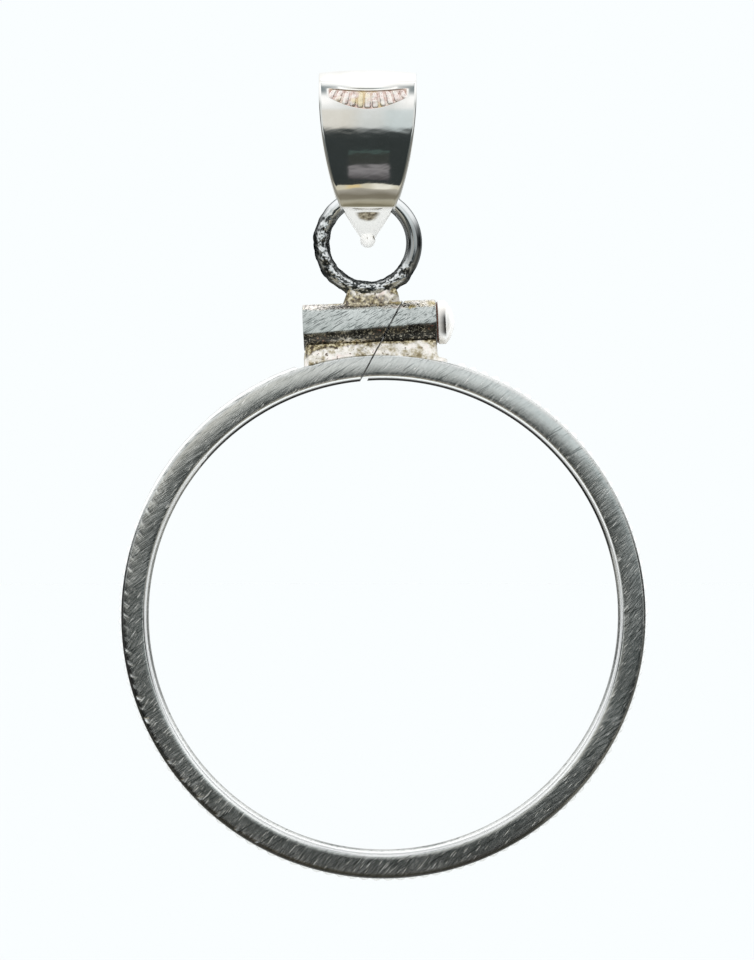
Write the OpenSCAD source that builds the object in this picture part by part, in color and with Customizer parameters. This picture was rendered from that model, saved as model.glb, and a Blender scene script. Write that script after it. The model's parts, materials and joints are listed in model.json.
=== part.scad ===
// A coin bezel pendant: a folded bail, a channel ring that grips a coin, and its closing screw.
// It hangs from a chain at the origin, the inner top of the bail. +Z is up and -Y is the front.

/* [Coin] */
// Diameter of the coin that the ring grips
coin_d = 24.3; // [22:0.1:25]
// Thickness of the coin at its rim
coin_t = 1.75; // [1.4:0.05:2]
// Play round the coin's edge, and between the lips and its two faces together
coin_play = 0.05; // [0.03:0.01:0.1]

/* [Ring] */
// Thickness of each lip in front of and behind the coin
lip_t = 0.3; // [0.25:0.05:0.4]
// Radial width of the front lip over the coin
front_lip_w = 0.56; // [0.4:0.02:1]
// Radial width of the back lip over the coin
back_lip_w = 0.64; // [0.4:0.02:1]
// Thickness of the ring's wall outside the coin, up to the crests of the reeding
wall_t = 0.68; // [0.6:0.02:0.8]
// Width and depth of the bevel between a flat face and the crests
bevel = 0.18; // [0.16:0.02:0.3]
// Number of flutes round the edge
flute_n = 136; // [60:2:160]
// Depth of a flute
flute_depth = 0.15; // [0.08:0.01:0.15]

/* [Screw tube] */
// Outer diameter of the tube
tube_d = 2.24; // [2.1:0.02:2.3]
// Length of the tube
tube_l = 6.5; // [6:0.1:7]
// Clear height between the crests of the reeding and the tube, filled with solder
tube_gap = 0.18; // [0.1:0.02:0.3]
// How far the tube's middle lies left of the pendant's middle
tube_left = 0.07; // [0:0.01:0.2]
// Radius of the hollow that the solder leaves between the tube and the ring
fillet_r = 0.3; // [0.2:0.02:0.34]

/* [Saw cut] */
// Lean of the cut away from upright
cut_lean = 30; // [25:1:32]
// Width of the cut
cut_w = 0.07; // [0.05:0.01:0.12]
// Width of the wider gap in the back lip
back_gap_w = 0.3; // [0.1:0.01:0.5]

/* [Screw] */
// Diameter of the shank
shank_d = 1.2; // [1:0.05:1.3]
// Clearance all round the shank in the tube
shank_play = 0.03; // [0.02:0.01:0.08]
// Length of the shank inside the tube
shank_l = 6; // [5:0.1:6.2]
// Diameter of the head
head_d = 2.12; // [1.8:0.02:2.2]
// Gap between the head and the end of the tube
head_gap = 0.08; // [0.05:0.01:0.12]
// Thickness of the flat collar under the dome
collar_t = 0.36; // [0.2:0.02:0.5]
// Height of the dome on the collar
dome_h = 0.44; // [0.3:0.02:0.6]
// Width of the driver slot
slot_w = 0.34; // [0.2:0.02:0.5]
// Depth of the driver slot below the top of the dome
slot_depth = 0.4; // [0.2:0.02:0.6]

/* [Hanging loop] */
// Outer diameter of the loop
loop_d = 5.3; // [5.1:0.05:5.5]
// Diameter of its wire
wire_d = 0.78; // [0.7:0.02:0.84]
// Clear height between the tube and the wire, filled with solder
loop_gap = 0.24; // [0.1:0.02:0.3]
// Length of the solder left of the loop's middle
saddle_left = 1.3; // [1:0.05:1.5]
// Length of the solder right of the loop's middle, where the cut allows it
saddle_right = 1.7; // [1.3:0.05:1.8]
// Sideways lean of loop, tube and ring, taken up by the loop turning in its seat
sway = 2.4; // [0:0.1:5]

/* [Bail] */
// Width of the sheet where it folds over the top
bail_w = 4.75; // [4.4:0.05:5]
// Thickness of the sheet
sheet_t = 0.45; // [0.4:0.01:0.5]
// Outer radius of the fold over the top
fold_r = 2.15; // [2.1:0.05:2.3]
// Half of the bail's outer depth at the creases
crease_y = 1.6; // [1.55:0.05:1.75]
// Depth of the creases below the inner top
crease_down = 6.34; // [6.3:0.02:6.5]
// Depth of the point where the two tips meet
tip_down = 7.94; // [7.8:0.02:8]
// Half of the width of the tips at the solder bead
tip_half_w = 0.33; // [0.25:0.01:0.35]
// Depth at which the sheet starts to narrow
taper_down = 0.68; // [0.4:0.02:1]
// Radius of the long curve of its side edges
side_r = 16.4; // [15:0.1:18]
// Diameter of the solder bead on the tips
bead_d = 0.76; // [0.7:0.02:0.8]
// Depth of the bead's centre
bead_down = 7.84; // [7.8:0.02:7.9]
// Depth of the seat that the loop hangs on
seat_down = 6.16; // [6.1:0.02:6.2]
// Clearance between the loop and its seat
seat_play = 0.04; // [0.03:0.01:0.08]
// Width of the solder seat between the leaves
seat_w = 2.2; // [1.8:0.1:2.3]

/* [Hidden] */
$fn = 96;

coin_seat_r = coin_d / 2 + coin_play;
coin_seat_w = coin_t + coin_play;
ring_w = coin_seat_w + 2 * lip_t;
front_open_r = coin_d / 2 - front_lip_w;
back_open_r = coin_d / 2 - back_lip_w;
crest_r = coin_seat_r + wall_t;
face_r = crest_r - bevel;
// The flutes' sharp crests stand this far outside the ring, which leaves them blunt.
crest_cut = 0.03;

tube_r = tube_d / 2;
tube_up = crest_r + tube_gap + tube_r;
tube_x0 = -tube_l / 2 - tube_left;
tube_x1 = tube_x0 + tube_l;
bore_r = shank_d / 2 + shank_play;

wire_r = wire_d / 2;
loop_r = loop_d / 2 - wire_r;
loop_low = tube_up + tube_r + loop_gap + wire_r;
loop_up = loop_low + loop_r;
saddle_hollow_r = 0.6;
saddle_top = loop_low + wire_r / 2;

// The loop swings about the middle of its wire where it crosses the seat.
pivot_z = -seat_down + seat_play + wire_r;
loop_z = pivot_z - loop_r;

// The cut crosses the top of the coin seat this far left of the pendant's middle, and runs from
// there up past the tube and down past the lips.
cut_left = 0.15;
cut_up = 4;
cut_down = 2;

head_r = head_d / 2;
dome_r = (head_r * head_r + dome_h * dome_h) / (2 * dome_h);

// Angles of the leaves and of the tips from upright, and the unit vectors square to them.
fold_z = sheet_t - fold_r;
crease = [crease_y, -crease_down];
leaf_lean = 90 - atan2(crease_y, fold_z + crease_down)
    - acos(fold_r / norm(crease - [0, fold_z]));
tip_lean = atan2(crease_y, tip_down - crease_down);
leaf_out = [cos(leaf_lean), -sin(leaf_lean)];
tip_out = [cos(tip_lean), -sin(tip_lean)];
crease_half_w = bail_w / 2 - side_r + sqrt(side_r ^ 2 - (crease_down - taper_down) ^ 2);
// The solder seat reaches up beside the loop's wire to this depth below its middle.
seat_rise = 0.15;

// Turns a section drawn as (radius, distance to the front) about the Y axis.
module turned_about_y() rotate([90, 0, 0]) rotate_extrude() children();

// Turns a section drawn as (radius, distance to the right) about the X axis.
module turned_about_x() rotate([0, 90, 0]) rotate_extrude() children();

// Extrudes an outline drawn as (y, z) to the right of x0.
module along_x(x0, length)
    translate([x0, 0, 0]) rotate([90, 0, 90]) linear_extrude(length) children();

// Extrudes an outline drawn as (x, z) to both sides of Y = 0.
module along_y(length) rotate([90, 0, 0]) linear_extrude(length, center = true) children();

// Draws an outline and its mirror image.
module both_sides() {
    children();
    mirror([1, 0]) children();
}

// Hangs what is drawn about the ring's centre below the bail, leaning about the loop's axis.
module hung()
    translate([0, 0, loop_z]) rotate([0, -sway, 0]) translate([0, 0, -loop_up]) children();

// Section of the ring: a channel open to the coin, with bevelled outer edges.
module channel_section()
    polygon([
        [front_open_r, coin_seat_w / 2],
        [front_open_r, ring_w / 2],
        [face_r, ring_w / 2],
        [crest_r, ring_w / 2 - bevel],
        [crest_r, bevel - ring_w / 2],
        [face_r, -ring_w / 2],
        [back_open_r, -ring_w / 2],
        [back_open_r, -coin_seat_w / 2],
        [coin_seat_r, -coin_seat_w / 2],
        [coin_seat_r, coin_seat_w / 2]
    ]);

// The reeded edge seen from the front.
module flute_outline()
    polygon([
        for (i = [0 : 2 * flute_n - 1])
            let (
                angle = 180 * i / flute_n,
                r = i % 2 == 0 ? crest_r + crest_cut : crest_r - flute_depth
            )
            r * [cos(angle), sin(angle)]
    ]);

module ring()
    intersection() {
        turned_about_y() channel_section();
        along_y(2 * ring_w) flute_outline();
    }

module tube() along_x(tube_x0, tube_l) translate([0, tube_up]) circle(tube_r);

// Solder that fills the gap between tube and ring, hollow in front and behind.
module fillet_section() {
    hollow_z = crest_r + fillet_r;
    hollow_y = sqrt((tube_r + fillet_r) ^ 2 - (tube_up - hollow_z) ^ 2);
    difference() {
        translate([-hollow_y, coin_seat_r - wall_t]) square([2 * hollow_y, tube_up - coin_seat_r]);
        both_sides() translate([hollow_y, hollow_z]) circle(fillet_r);
    }
}

module tube_solder()
    difference() {
        along_x(tube_x0, tube_l) fillet_section();
        along_y(2 * ring_w) circle(coin_seat_r + wall_t / 2);
    }

module hanging_loop()
    translate([0, 0, loop_up]) turned_about_y() translate([loop_r, 0]) circle(wire_r);

// Solder that seats the loop on the tube, hollow in front and behind.
module saddle_section() {
    rise = loop_low - tube_up;
    from_tube = tube_r + saddle_hollow_r;
    from_wire = wire_r + saddle_hollow_r;
    hollow_up = (from_tube ^ 2 - from_wire ^ 2 + rise ^ 2) / (2 * rise);
    hollow_y = sqrt(from_tube ^ 2 - hollow_up ^ 2);
    foot_y = hollow_y * tube_r / from_tube;
    neck_y = hollow_y - saddle_hollow_r;
    difference() {
        union() {
            translate([-foot_y, tube_up]) square([2 * foot_y, rise - wire_r / 2]);
            translate([-neck_y, tube_up]) square([2 * neck_y, saddle_top - tube_up]);
        }
        both_sides() translate([hollow_y, tube_up + hollow_up]) circle(saddle_hollow_r);
    }
}

// The loop is soldered to the left half of the tube alone, so its solder ends at the cut.
module loop_solder()
    difference() {
        along_x(-saddle_left, saddle_left + saddle_right) saddle_section();
        at_cut() translate([-cut_w / 2, -ring_w, 0]) cube([saddle_right, 2 * ring_w, 2 * cut_up]);
    }

// Puts what is drawn about Z on the line of the cut, from where it crosses the coin seat.
module at_cut() translate([-cut_left, 0, coin_seat_r]) rotate([0, cut_lean, 0]) children();

// The saw cut through ring, solder and tube, and the wider gap in the back lip.
module saw_cut() {
    at_cut() translate([-cut_w / 2, -ring_w, -cut_down])
        cube([cut_w, 2 * ring_w, cut_up + cut_down]);
    at_cut() translate([-back_gap_w / 2, coin_seat_w / 2 - lip_t / 2, -cut_down])
        cube([back_gap_w, ring_w, cut_down]);
}

module bezel()
    color("silver") hung() difference() {
        union() {
            ring();
            tube();
            tube_solder();
            hanging_loop();
            loop_solder();
        }
        along_x(tube_x0 - head_gap, tube_l + 2 * head_gap) translate([0, tube_up]) circle(bore_r);
        saw_cut();
    }

// Section of the head: a collar with a dome on it, drawn from the collar's inner face.
module head_section() {
    square([head_r, collar_t]);
    intersection() {
        translate([0, collar_t + dome_h - dome_r]) circle(dome_r);
        translate([0, collar_t / 2]) square([head_r, collar_t + dome_h]);
    }
}

module screw() {
    head_x = tube_x1 + head_gap;
    head_l = collar_t + dome_h;
    color("gainsboro") hung() translate([0, 0, tube_up]) difference() {
        union() {
            translate([head_x, 0, 0]) turned_about_x() head_section();
            along_x(tube_x1 - shank_l, shank_l + head_gap + collar_t / 2) circle(shank_d / 2);
        }
        translate([head_x + head_l - slot_depth, -slot_w / 2, -head_d])
            cube([head_l, slot_w, 2 * head_d]);
    }
}

// Points of the bail's side outline, drawn as (y, z), at a depth d under its outer surface.
function fold_end(d) = [0, fold_z] + (fold_r - d) * leaf_out;
function crease_at(d) = crease - d * (leaf_out + tip_out) / (1 + leaf_out * tip_out);
function tip_at(d) = [0, crease_at(d)[1] - crease_at(d)[0] / tan(tip_lean)];

// Half of the teardrop below the fold, at a depth d under the outer surface.
module leaf_outline(d) polygon([[0, fold_z], fold_end(d), crease_at(d), tip_at(d)]);

module teardrop(d) {
    translate([0, fold_z]) circle(fold_r - d);
    both_sides() leaf_outline(d);
}

// The bail seen from the front: straight over the fold, curved sides, and a pointed tip.
module bail_front() {
    translate([-bail_w / 2, -taper_down]) square([bail_w, taper_down + sheet_t + fold_r]);
    intersection() {
        translate([-bail_w / 2, -crease_down]) square([bail_w, crease_down - taper_down]);
        translate([bail_w / 2 - side_r, -taper_down]) circle(side_r);
        translate([side_r - bail_w / 2, -taper_down]) circle(side_r);
    }
    polygon([
        [-crease_half_w, -crease_down],
        [crease_half_w, -crease_down],
        [tip_half_w, -bead_down],
        [-tip_half_w, -bead_down]
    ]);
}

// Solder between the tips, up to the loop's seat. The groove in it is the path of the loop's
// inner side as the loop swings.
module seat()
    difference() {
        intersection() {
            along_x(-seat_w / 2, seat_w) both_sides() leaf_outline(sheet_t / 2);
            translate([-seat_w, -fold_r, pivot_z - seat_rise - 2 * fold_r])
                cube([2 * seat_w, 2 * fold_r, 2 * fold_r]);
        }
        translate([0, 0, pivot_z]) difference() {
            along_x(-seat_w, 2 * seat_w) circle(loop_r - wire_r);
            turned_about_x() translate([loop_r, 0]) circle(loop_r - wire_r - seat_play);
        }
    }

module bail()
    color("lightgray") {
        intersection() {
            along_x(-bail_w, 2 * bail_w) difference() {
                teardrop(0);
                teardrop(sheet_t);
            }
            along_y(3 * fold_r) bail_front();
        }
        intersection() {
            seat();
            along_y(3 * fold_r) bail_front();
        }
        translate([0, 0, -bead_down]) sphere(bead_d / 2);
    }

bail();
bezel();
screw();
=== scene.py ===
import json
from functools import reduce

import bmesh
import bpy
import numpy as np
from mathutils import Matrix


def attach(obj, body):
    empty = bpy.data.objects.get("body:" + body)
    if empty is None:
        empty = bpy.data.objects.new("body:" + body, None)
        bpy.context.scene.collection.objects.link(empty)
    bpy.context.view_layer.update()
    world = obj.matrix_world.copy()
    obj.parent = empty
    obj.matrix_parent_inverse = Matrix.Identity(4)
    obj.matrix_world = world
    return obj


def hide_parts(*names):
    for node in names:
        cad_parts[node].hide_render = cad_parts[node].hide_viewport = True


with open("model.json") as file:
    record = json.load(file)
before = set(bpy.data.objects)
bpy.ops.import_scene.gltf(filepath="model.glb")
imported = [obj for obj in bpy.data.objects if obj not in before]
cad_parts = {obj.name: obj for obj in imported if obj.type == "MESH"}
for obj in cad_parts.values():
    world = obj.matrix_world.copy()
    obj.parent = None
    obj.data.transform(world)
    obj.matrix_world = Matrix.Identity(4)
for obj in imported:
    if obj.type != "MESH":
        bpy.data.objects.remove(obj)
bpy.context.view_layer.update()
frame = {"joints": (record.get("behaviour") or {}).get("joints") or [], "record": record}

# THE CHANNEL RING
# A ring of sterling silver channel that grips the coin between two lips. It is rolled and
# soldered, its edge is reeded, and a slanting saw cut lets it spring open. Its faces are filed.

MM = 0.001
mounts = {mount["name"]: np.array(mount["pos_m"]) for mount in frame["record"]["mounts"]}
joints = {joint["name"]: joint for joint in frame["joints"]}
ring_centre = mounts["coin_seat"]
along_tube = np.array(joints["screw_travel"]["axis"])
up_pendant = np.array([-along_tube[2], 0, along_tube[0]])


def spread(*parts):
    """Points from their coordinates, each a number or an array, spread over one another."""
    return np.stack(np.broadcast_arrays(*parts), -1)


def hung(points):
    """Points drawn about the ring's middle, in mm (right along the screw tube, back, up along the
    pendant), put where the pendant hangs: middle + right * tube direction + back * Y + up * its
    own upward direction."""
    right, back, up = np.moveaxis(np.asarray(points, float), -1, 0)[..., None]
    return ring_centre + MM * (right * along_tube + back * np.array([0, 1, 0]) + up * up_pendant)


def lumps(points, size, seed, waves=28):
    """A smooth random height from -1 to 1 at each point: the mean of plane waves about `size` mm
    long in random directions, stretched to fill the range."""
    draw = np.random.default_rng(seed)
    ways = draw.normal(size=(waves, 3))
    ways /= np.linalg.norm(ways, axis=1, keepdims=True)
    lengths = size * draw.uniform(0.6, 1.6, waves)
    swing = np.asarray(points, float) @ (2 * np.pi * ways / lengths[:, None]).T
    height = np.sin(swing + draw.uniform(0, 2 * np.pi, waves)).mean(-1)
    return np.clip(height * np.sqrt(2 * waves) / 2.4, -1, 1)


def ease(x, start, end):
    """0 before start, 1 after end, and 3t^2 - 2t^3 between them."""
    t = np.clip((np.asarray(x, float) - start) / (end - start), 0, 1)
    return t * t * (3 - 2 * t)


def rounded(corners, radii, steps=5):
    """A closed outline whose corners are arcs: each arc starts and ends radius * tan(turn / 2)
    from its corner, and its points turn evenly about its centre."""
    corners = np.asarray(corners, float)
    points = []
    for here, before, after, radius in zip(
        corners, np.roll(corners, 1, 0), np.roll(corners, -1, 0), radii
    ):
        inward = (here - before) / np.linalg.norm(here - before)
        onward = (after - here) / np.linalg.norm(after - here)
        turn = np.arctan2(inward[0] * onward[1] - inward[1] * onward[0], inward @ onward)
        side = np.sign(turn) * radius * np.array([-inward[1], inward[0]])
        centre = here - inward * radius * np.tan(abs(turn) / 2) + side
        angle = turn * np.linspace(0, 1, steps + 1)
        c, s = np.cos(angle), np.sin(angle)
        points.append(centre - spread(c * side[0] - s * side[1], s * side[0] + c * side[1]))
    return np.concatenate(points)


def filled(outline, spacing):
    """The closed outline with points added along it, so that no two are more than spacing apart."""
    ends = np.roll(outline, -1, 0)
    parts = np.ceil(np.linalg.norm(ends - outline, axis=1) / spacing).astype(int).clip(1)
    return np.concatenate(
        [a + np.linspace(0, 1, n, endpoint=False)[:, None] * (b - a)
         for a, b, n in zip(outline, ends, parts)]
    )


def skin(name, grids, sharp=35, **marks):
    """One object from grids of points in metres, each with rows and columns. The columns close on
    themselves. The rows' ends are "capped", meet each other in a "ring", or are "drawn" together
    to a point or line, where points that coincide are merged. Faces point outwards: their order is
    turned round where the volume, the sum of a . (b x c) / 6 over all triangles, is negative. Marks
    are values from 0 to 1 kept on the points for the material."""
    points, faces = [], []
    for grid, ends in grids:
        rows, columns, _ = grid.shape
        first = sum(len(p) for p in points)
        number = first + np.arange(rows * columns).reshape(rows, columns)
        number = np.concatenate([number, number[:, :1]], 1)
        if ends == "ring":
            number = np.concatenate([number, number[:1]], 0)
        quads = np.stack(
            [number[:-1, :-1], number[1:, :-1], number[1:, 1:], number[:-1, 1:]], -1
        ).reshape(-1, 4)
        flat = grid.reshape(-1, 3)
        a, b, c, d = (flat[quads[:, k] - first] for k in range(4))
        middle = flat.mean(0)
        volume = (np.cross(b - middle, c - middle) * (a - middle)).sum()
        volume += (np.cross(c - middle, d - middle) * (a - middle)).sum()
        caps = [number[0, :-1], number[-1, -2::-1]] if ends == "capped" else []
        for cap in caps:
            rim = flat[cap - first] - middle
            volume += (np.cross(rim[1:-1], rim[2:]) @ rim[0]).sum()
        turned = slice(None, None, -1) if volume < 0 else slice(None)
        points.append(flat)
        faces += quads[:, turned].tolist() + [cap[turned].tolist() for cap in caps]
    mesh = bpy.data.meshes.new(name)
    mesh.from_pydata(np.concatenate(points).tolist(), [], faces)
    for mark, values in marks.items():
        layer = mesh.attributes.new(mark, "FLOAT", "POINT")
        layer.data.foreach_set("value", np.asarray(values, np.float32).ravel())
    if any(ends == "drawn" for _, ends in grids):
        merged = bmesh.new()
        merged.from_mesh(mesh)
        bmesh.ops.remove_doubles(merged, verts=merged.verts, dist=2e-8)
        bmesh.ops.dissolve_degenerate(merged, edges=merged.edges, dist=2e-8)
        merged.to_mesh(mesh)
        merged.free()
    mesh.polygons.foreach_set("use_smooth", np.ones(len(mesh.polygons), bool))
    mesh.set_sharp_from_angle(angle=np.radians(sharp))
    piece = bpy.data.objects.new(name, mesh)
    bpy.context.scene.collection.objects.link(piece)
    return piece


def put(piece, body, material):
    """Rides the piece on its body, in place of the CAD node of the same name, and dresses it."""
    piece.data.materials.append(material)
    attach(piece, body)
    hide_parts(body)


def linear(code):
    """The linear colour of an sRGB hex value: ((c + 0.055) / 1.055) ^ 2.4, or c / 12.92 if dark."""
    srgb = np.array([int(code[i:i + 2], 16) for i in (1, 3, 5)]) / 255
    return (*np.where(srgb > 0.04045, ((srgb + 0.055) / 1.055) ** 2.4, srgb / 12.92), 1.0)


def plug(tree, node, inputs):
    """Fills a node's inputs, by name or number. An output of another node is linked, a hex value
    is set as its linear colour, and any other value as it is."""
    for name, value in inputs.items():
        if isinstance(value, bpy.types.NodeSocket):
            tree.links.new(value, node.inputs[name])
        else:
            node.inputs[name].default_value = linear(value) if isinstance(value, str) else value


def add(tree, kind, inputs, out=0, steps=None, **settings):
    """Adds a node with its settings, its inputs and, if it is a colour ramp, a colour for each of
    its positions, and gives one of its outputs."""
    node = tree.nodes.new("ShaderNode" + kind)
    for name, value in settings.items():
        setattr(node, name, value)
    plug(tree, node, inputs)
    if steps:
        elements = node.color_ramp.elements
        while len(elements) < len(steps):
            elements.new(1)
        for element, (position, colour) in zip(elements, steps.items()):
            element.position = position
            element.color = linear(colour) if isinstance(colour, str) else colour
    return node.outputs[out]


def blank(name, *marks):
    """A new material, with its node tree, its shader, the place on the object in metres, and the
    marks that are kept on the points."""
    material = bpy.data.materials.new(name)
    material.use_nodes = True
    tree = material.node_tree
    place = add(tree, "TexCoord", {}, "Object")
    kept = [add(tree, "Attribute", {}, "Fac", attribute_name=mark) for mark in marks]
    return material, tree, tree.nodes["Principled BSDF"], place, *kept


def streaks(tree, place, rise, length, width, detail=2.0, roughness=0.6):
    """Noise drawn out to streaks of a length and width in mm, which rise by so many degrees."""
    drawn = add(
        tree, "Mapping",
        {"Vector": place, "Rotation": (0, np.radians(-rise), 0),
         "Scale": (length * MM, width * MM, width * MM)},
        vector_type="TEXTURE",
    )
    return add(
        tree, "TexNoise", {"Vector": drawn, "Scale": 0.5, "Detail": detail, "Roughness": roughness}
    )


# Radii from the ring's middle, and half widths from front to back.
seat_r, front_open_r, back_open_r = 12.2, 11.59, 11.51
face_r, crest_r = 12.70, 12.88
half_w, channel_half_w, crest_half_w = 1.2, 0.9, 0.62
# The flutes would meet in sharp tips this far outside the blunt crests.
flutes, flute_depth, tip_out = 136, 0.15, 0.03
# The saw cut: its lean, half of its width, and its distance from the ring's middle.
cut_lean = np.radians(30)
cut_half_w = 0.035
cut_away = -0.15 * np.cos(cut_lean) - seat_r * np.sin(cut_lean)
# Half of the width of the gap in the back lip, and how far the front lip is worn at the cut. The
# blade also ran a little skew from front to back, so that no light comes through the cut.
back_gap_half_w, cut_worn, cut_skew = 0.15, 0.03, 0.05
# The solder under the tube fills the reeding between these places, to left and right, and over
# this length it starts and ends.
filled_left, filled_right, filled_ends = -3.6, 3.85, 0.3


def cut_angle(r, away):
    """Where a circle of radius r about the ring's middle meets a line that leans like the saw cut,
    at a signed distance from the middle: lean + arcsin(away / r), clockwise from the top."""
    return cut_lean + np.arcsin(away / r)


section = rounded(
    [[front_open_r, -half_w], [face_r, -half_w], [crest_r, -crest_half_w], [crest_r, crest_half_w],
     [face_r, half_w], [back_open_r, half_w], [back_open_r, channel_half_w + 0.21],
     [back_open_r + 0.08, channel_half_w + 0.15], [back_open_r + 0.16, channel_half_w],
     [seat_r, channel_half_w], [seat_r, -channel_half_w], [front_open_r, -channel_half_w]],
    [0.12, 0.16, 0.2, 0.2, 0.12, 0.03, 0.02, 0.01, 0.04, 0.05, 0.05, 0.04],
)
section_r, section_y = filled(section, 0.16).T
in_front = section_y < 0
back_lip = (section_y > channel_half_w / 2) & (section_r < seat_r - 0.02)
front_wear = cut_worn * ease(section_r, 11.95, front_open_r) * in_front
skewed = cut_away + cut_skew * section_y
gap = np.where(back_lip, back_gap_half_w, cut_half_w)
start = cut_angle(section_r, skewed + gap)
end = 2 * np.pi + cut_angle(section_r, skewed - gap - front_wear)
# Ten rows a flute, with one more beside each side of the cut.
turn = np.linspace(0, 1, 10 * flutes)
at_cut_edge = 0.00002
turn = np.concatenate([[0, at_cut_edge], turn[1:-1], [1 - at_cut_edge, 1]])[:, None]
angle = start + turn * (end - start)


def near(clock, far, close):
    """How near each point is to a place round the ring, in degrees clockwise from the top: the
    cosine of the angle to it, eased from far to close."""
    return ease(np.cos(angle - np.radians(clock)), far, close)


# Each flute is a V between blunt crests, and no two are cut to quite the same depth. The crests
# are worn nearly smooth at the upper left.
phase = angle * flutes / (2 * np.pi)
flute = 2 * np.abs(phase - np.round(phase))
uneven = 0.022 * lumps(12 * spread(np.sin(angle), np.cos(angle), 0), 1.1, 3)
upper_left = near(322, 0.82, 0.95)
reeded_r = crest_r + tip_out - (flute_depth + tip_out) * (1 - flute) * (1 - 0.8 * upper_left) + uneven
across_top = crest_r * np.sin(angle)
under_solder = ease(across_top, filled_left - filled_ends, filled_left) * (np.cos(angle) > 0)
under_solder = under_solder * ease(across_top, filled_right + filled_ends, filled_right)
reeded_r = reeded_r + (crest_r - 0.17 - reeded_r) * under_solder
# The lower of the section and the flutes, with the corner between them blended.
blend = 0.012
blended = blend * np.log(1 + np.exp(-np.abs(section_r - reeded_r) / blend))
ring_r = np.where(section_r > 12.5, np.minimum(section_r, reeded_r) - blended, section_r)
# The file left both faces a little round: they lean inwards at the opening and outwards at the
# bevel, and at the top they are tipped back a little. From the opening the fall is width *
# (lean * t + change of lean * t^2 / 2). The leans are in degrees until they are used.
face_w = face_r - front_open_r
t = np.clip((section_r - front_open_r) / face_w, 0, 1)
near_face = np.clip((np.abs(section_y) - crest_half_w) / (half_w - crest_half_w), 0, 1)
tipped_back = 1.6 * near(15, 0.7, 1.0)
less_below = 0.8 * near(180, 0.2, 0.9)
lean_at_opening = np.radians(tipped_back + less_below - 3.0 - 1.2 * np.cos(angle - np.radians(25)))
flatter = 1.4 * near(289, 0.88, 0.97)
lean_at_bevel = np.radians(tipped_back + 2.8 + 1.7 * np.cos(angle) - flatter)
fall = 0.018 + face_w * (lean_at_opening * t + (lean_at_bevel - lean_at_opening) * t ** 2 / 2)
# On the left the flutes nick the edge of the face, and low on the left every second one does.
nicked = near(277, 0.82, 0.93) + near(232, 0.86, 0.95) * (np.round(phase) % 2 == 0)
on_rim = ease(section_r, 12.41, 12.48) * in_front * (section_r < face_r + 0.01)
broken = lumps(spread(ring_r * np.sin(angle), 0, ring_r * np.cos(angle)), 0.14, 4)
tick = on_rim * ease(flute + 0.2 * broken, 0.42, 0.12) * nicked
tick = tick * ease(section_r + 0.04 * broken, 12.62, 12.56)
ring_y = section_y - np.sign(section_y) * near_face * fall + 0.014 * tick
ring = spread(ring_r * np.sin(angle), ring_y, ring_r * np.cos(angle))

# Where the silver is near white with painted highlights and reflections, where it is matt,
# and where it is dark with painted shade.
on_face = in_front & (section_r < face_r + 0.02)
reeding = section_r > face_r + 0.03
in_flute = ease(1 - flute, 0.2, 0.9) * (section_r > face_r + 0.02)
inside = (np.abs(section_y) < channel_half_w + 0.03) & (section_r < seat_r + 0.05)
inside &= section_r > back_open_r + 0.2
upwards = near(15, 0.0, 0.7)
lip_edge = (section_r < back_open_r + 0.05 + 0.04 * upwards) & (section_y > channel_half_w)
on_lip = (section_r < back_open_r + 0.4) & (section_y > channel_half_w - 0.02)
# The back lip's chamfer and the front opening's edge are painted near white and made matt: a painted
# reflection of the white surroundings.
bright_lip = on_lip & (section_r > back_open_r + 0.09) & (section_y < half_w - 0.02)
front_edge = (section_r < front_open_r + 0.08) & (section_y < -channel_half_w - 0.1)
sawn = (turn < at_cut_edge / 2) | (turn > 1 - at_cut_edge / 2)
# Painted shade: on the back lip's edge, most of all at the upper right, along the outer rim at the
# sides and below, and on the crests at the upper left. Below, the face is painted a little darker.
lip_shade = 0.4 + 0.6 * upwards
rim_shade = on_face * ease(section_r, 12.42, 12.56) * (0.1 + 0.8 * near(180, -0.5, 0.1))
rim_shade = rim_shade * (1 - np.clip(2 * tick, 0, 1)) * (1 - 0.5 * near(105, 0.7, 0.95))
crest_shade = 0.55 * upper_left * ease(section_r, crest_r - 0.07, crest_r - 0.02)
dull = 0.26 * near(180, 0.65, 0.95) * on_face
# Along the outer half of the top, the file's marks are smoothed, and the silver is painted
# lighter there as a painted highlight.
rubbed = 0.34 * near(18, 0.74, 0.94) * ease(section_r, 12.05, 12.3) * on_face
channel_ring = skin(
    "channel_ring", [(hung(ring), "capped")],
    # Painted shade: in the flute valleys, inside the channel, on the saw cut's walls, on the back lip's
    # edge, along the outer rim, on the upper left crests and low on the face.
    hollow=reduce(np.maximum, [
        0.15 * in_flute, 0.8 * (inside & ~on_lip), sawn, lip_shade * lip_edge, dull, rim_shade,
        crest_shade,
    ]),
    # Painted light: near white and matt as a painted reflection on the back lip's chamfer, the front
    # opening's edge and the reeding, and as painted highlights on the nicks and the outer top.
    bright=reduce(np.maximum, [bright_lip | front_edge, 0.9 * reeding, 0.75 * tick, rubbed]),
    frosted=reduce(np.maximum, [
        (bright_lip + 0.7 * lip_edge) * (1 - 0.85 * upwards) + 0.9 * front_edge * upwards,
        0.85 * (reeding & in_front), 0.3 * tick,
    ]),
)


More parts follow.
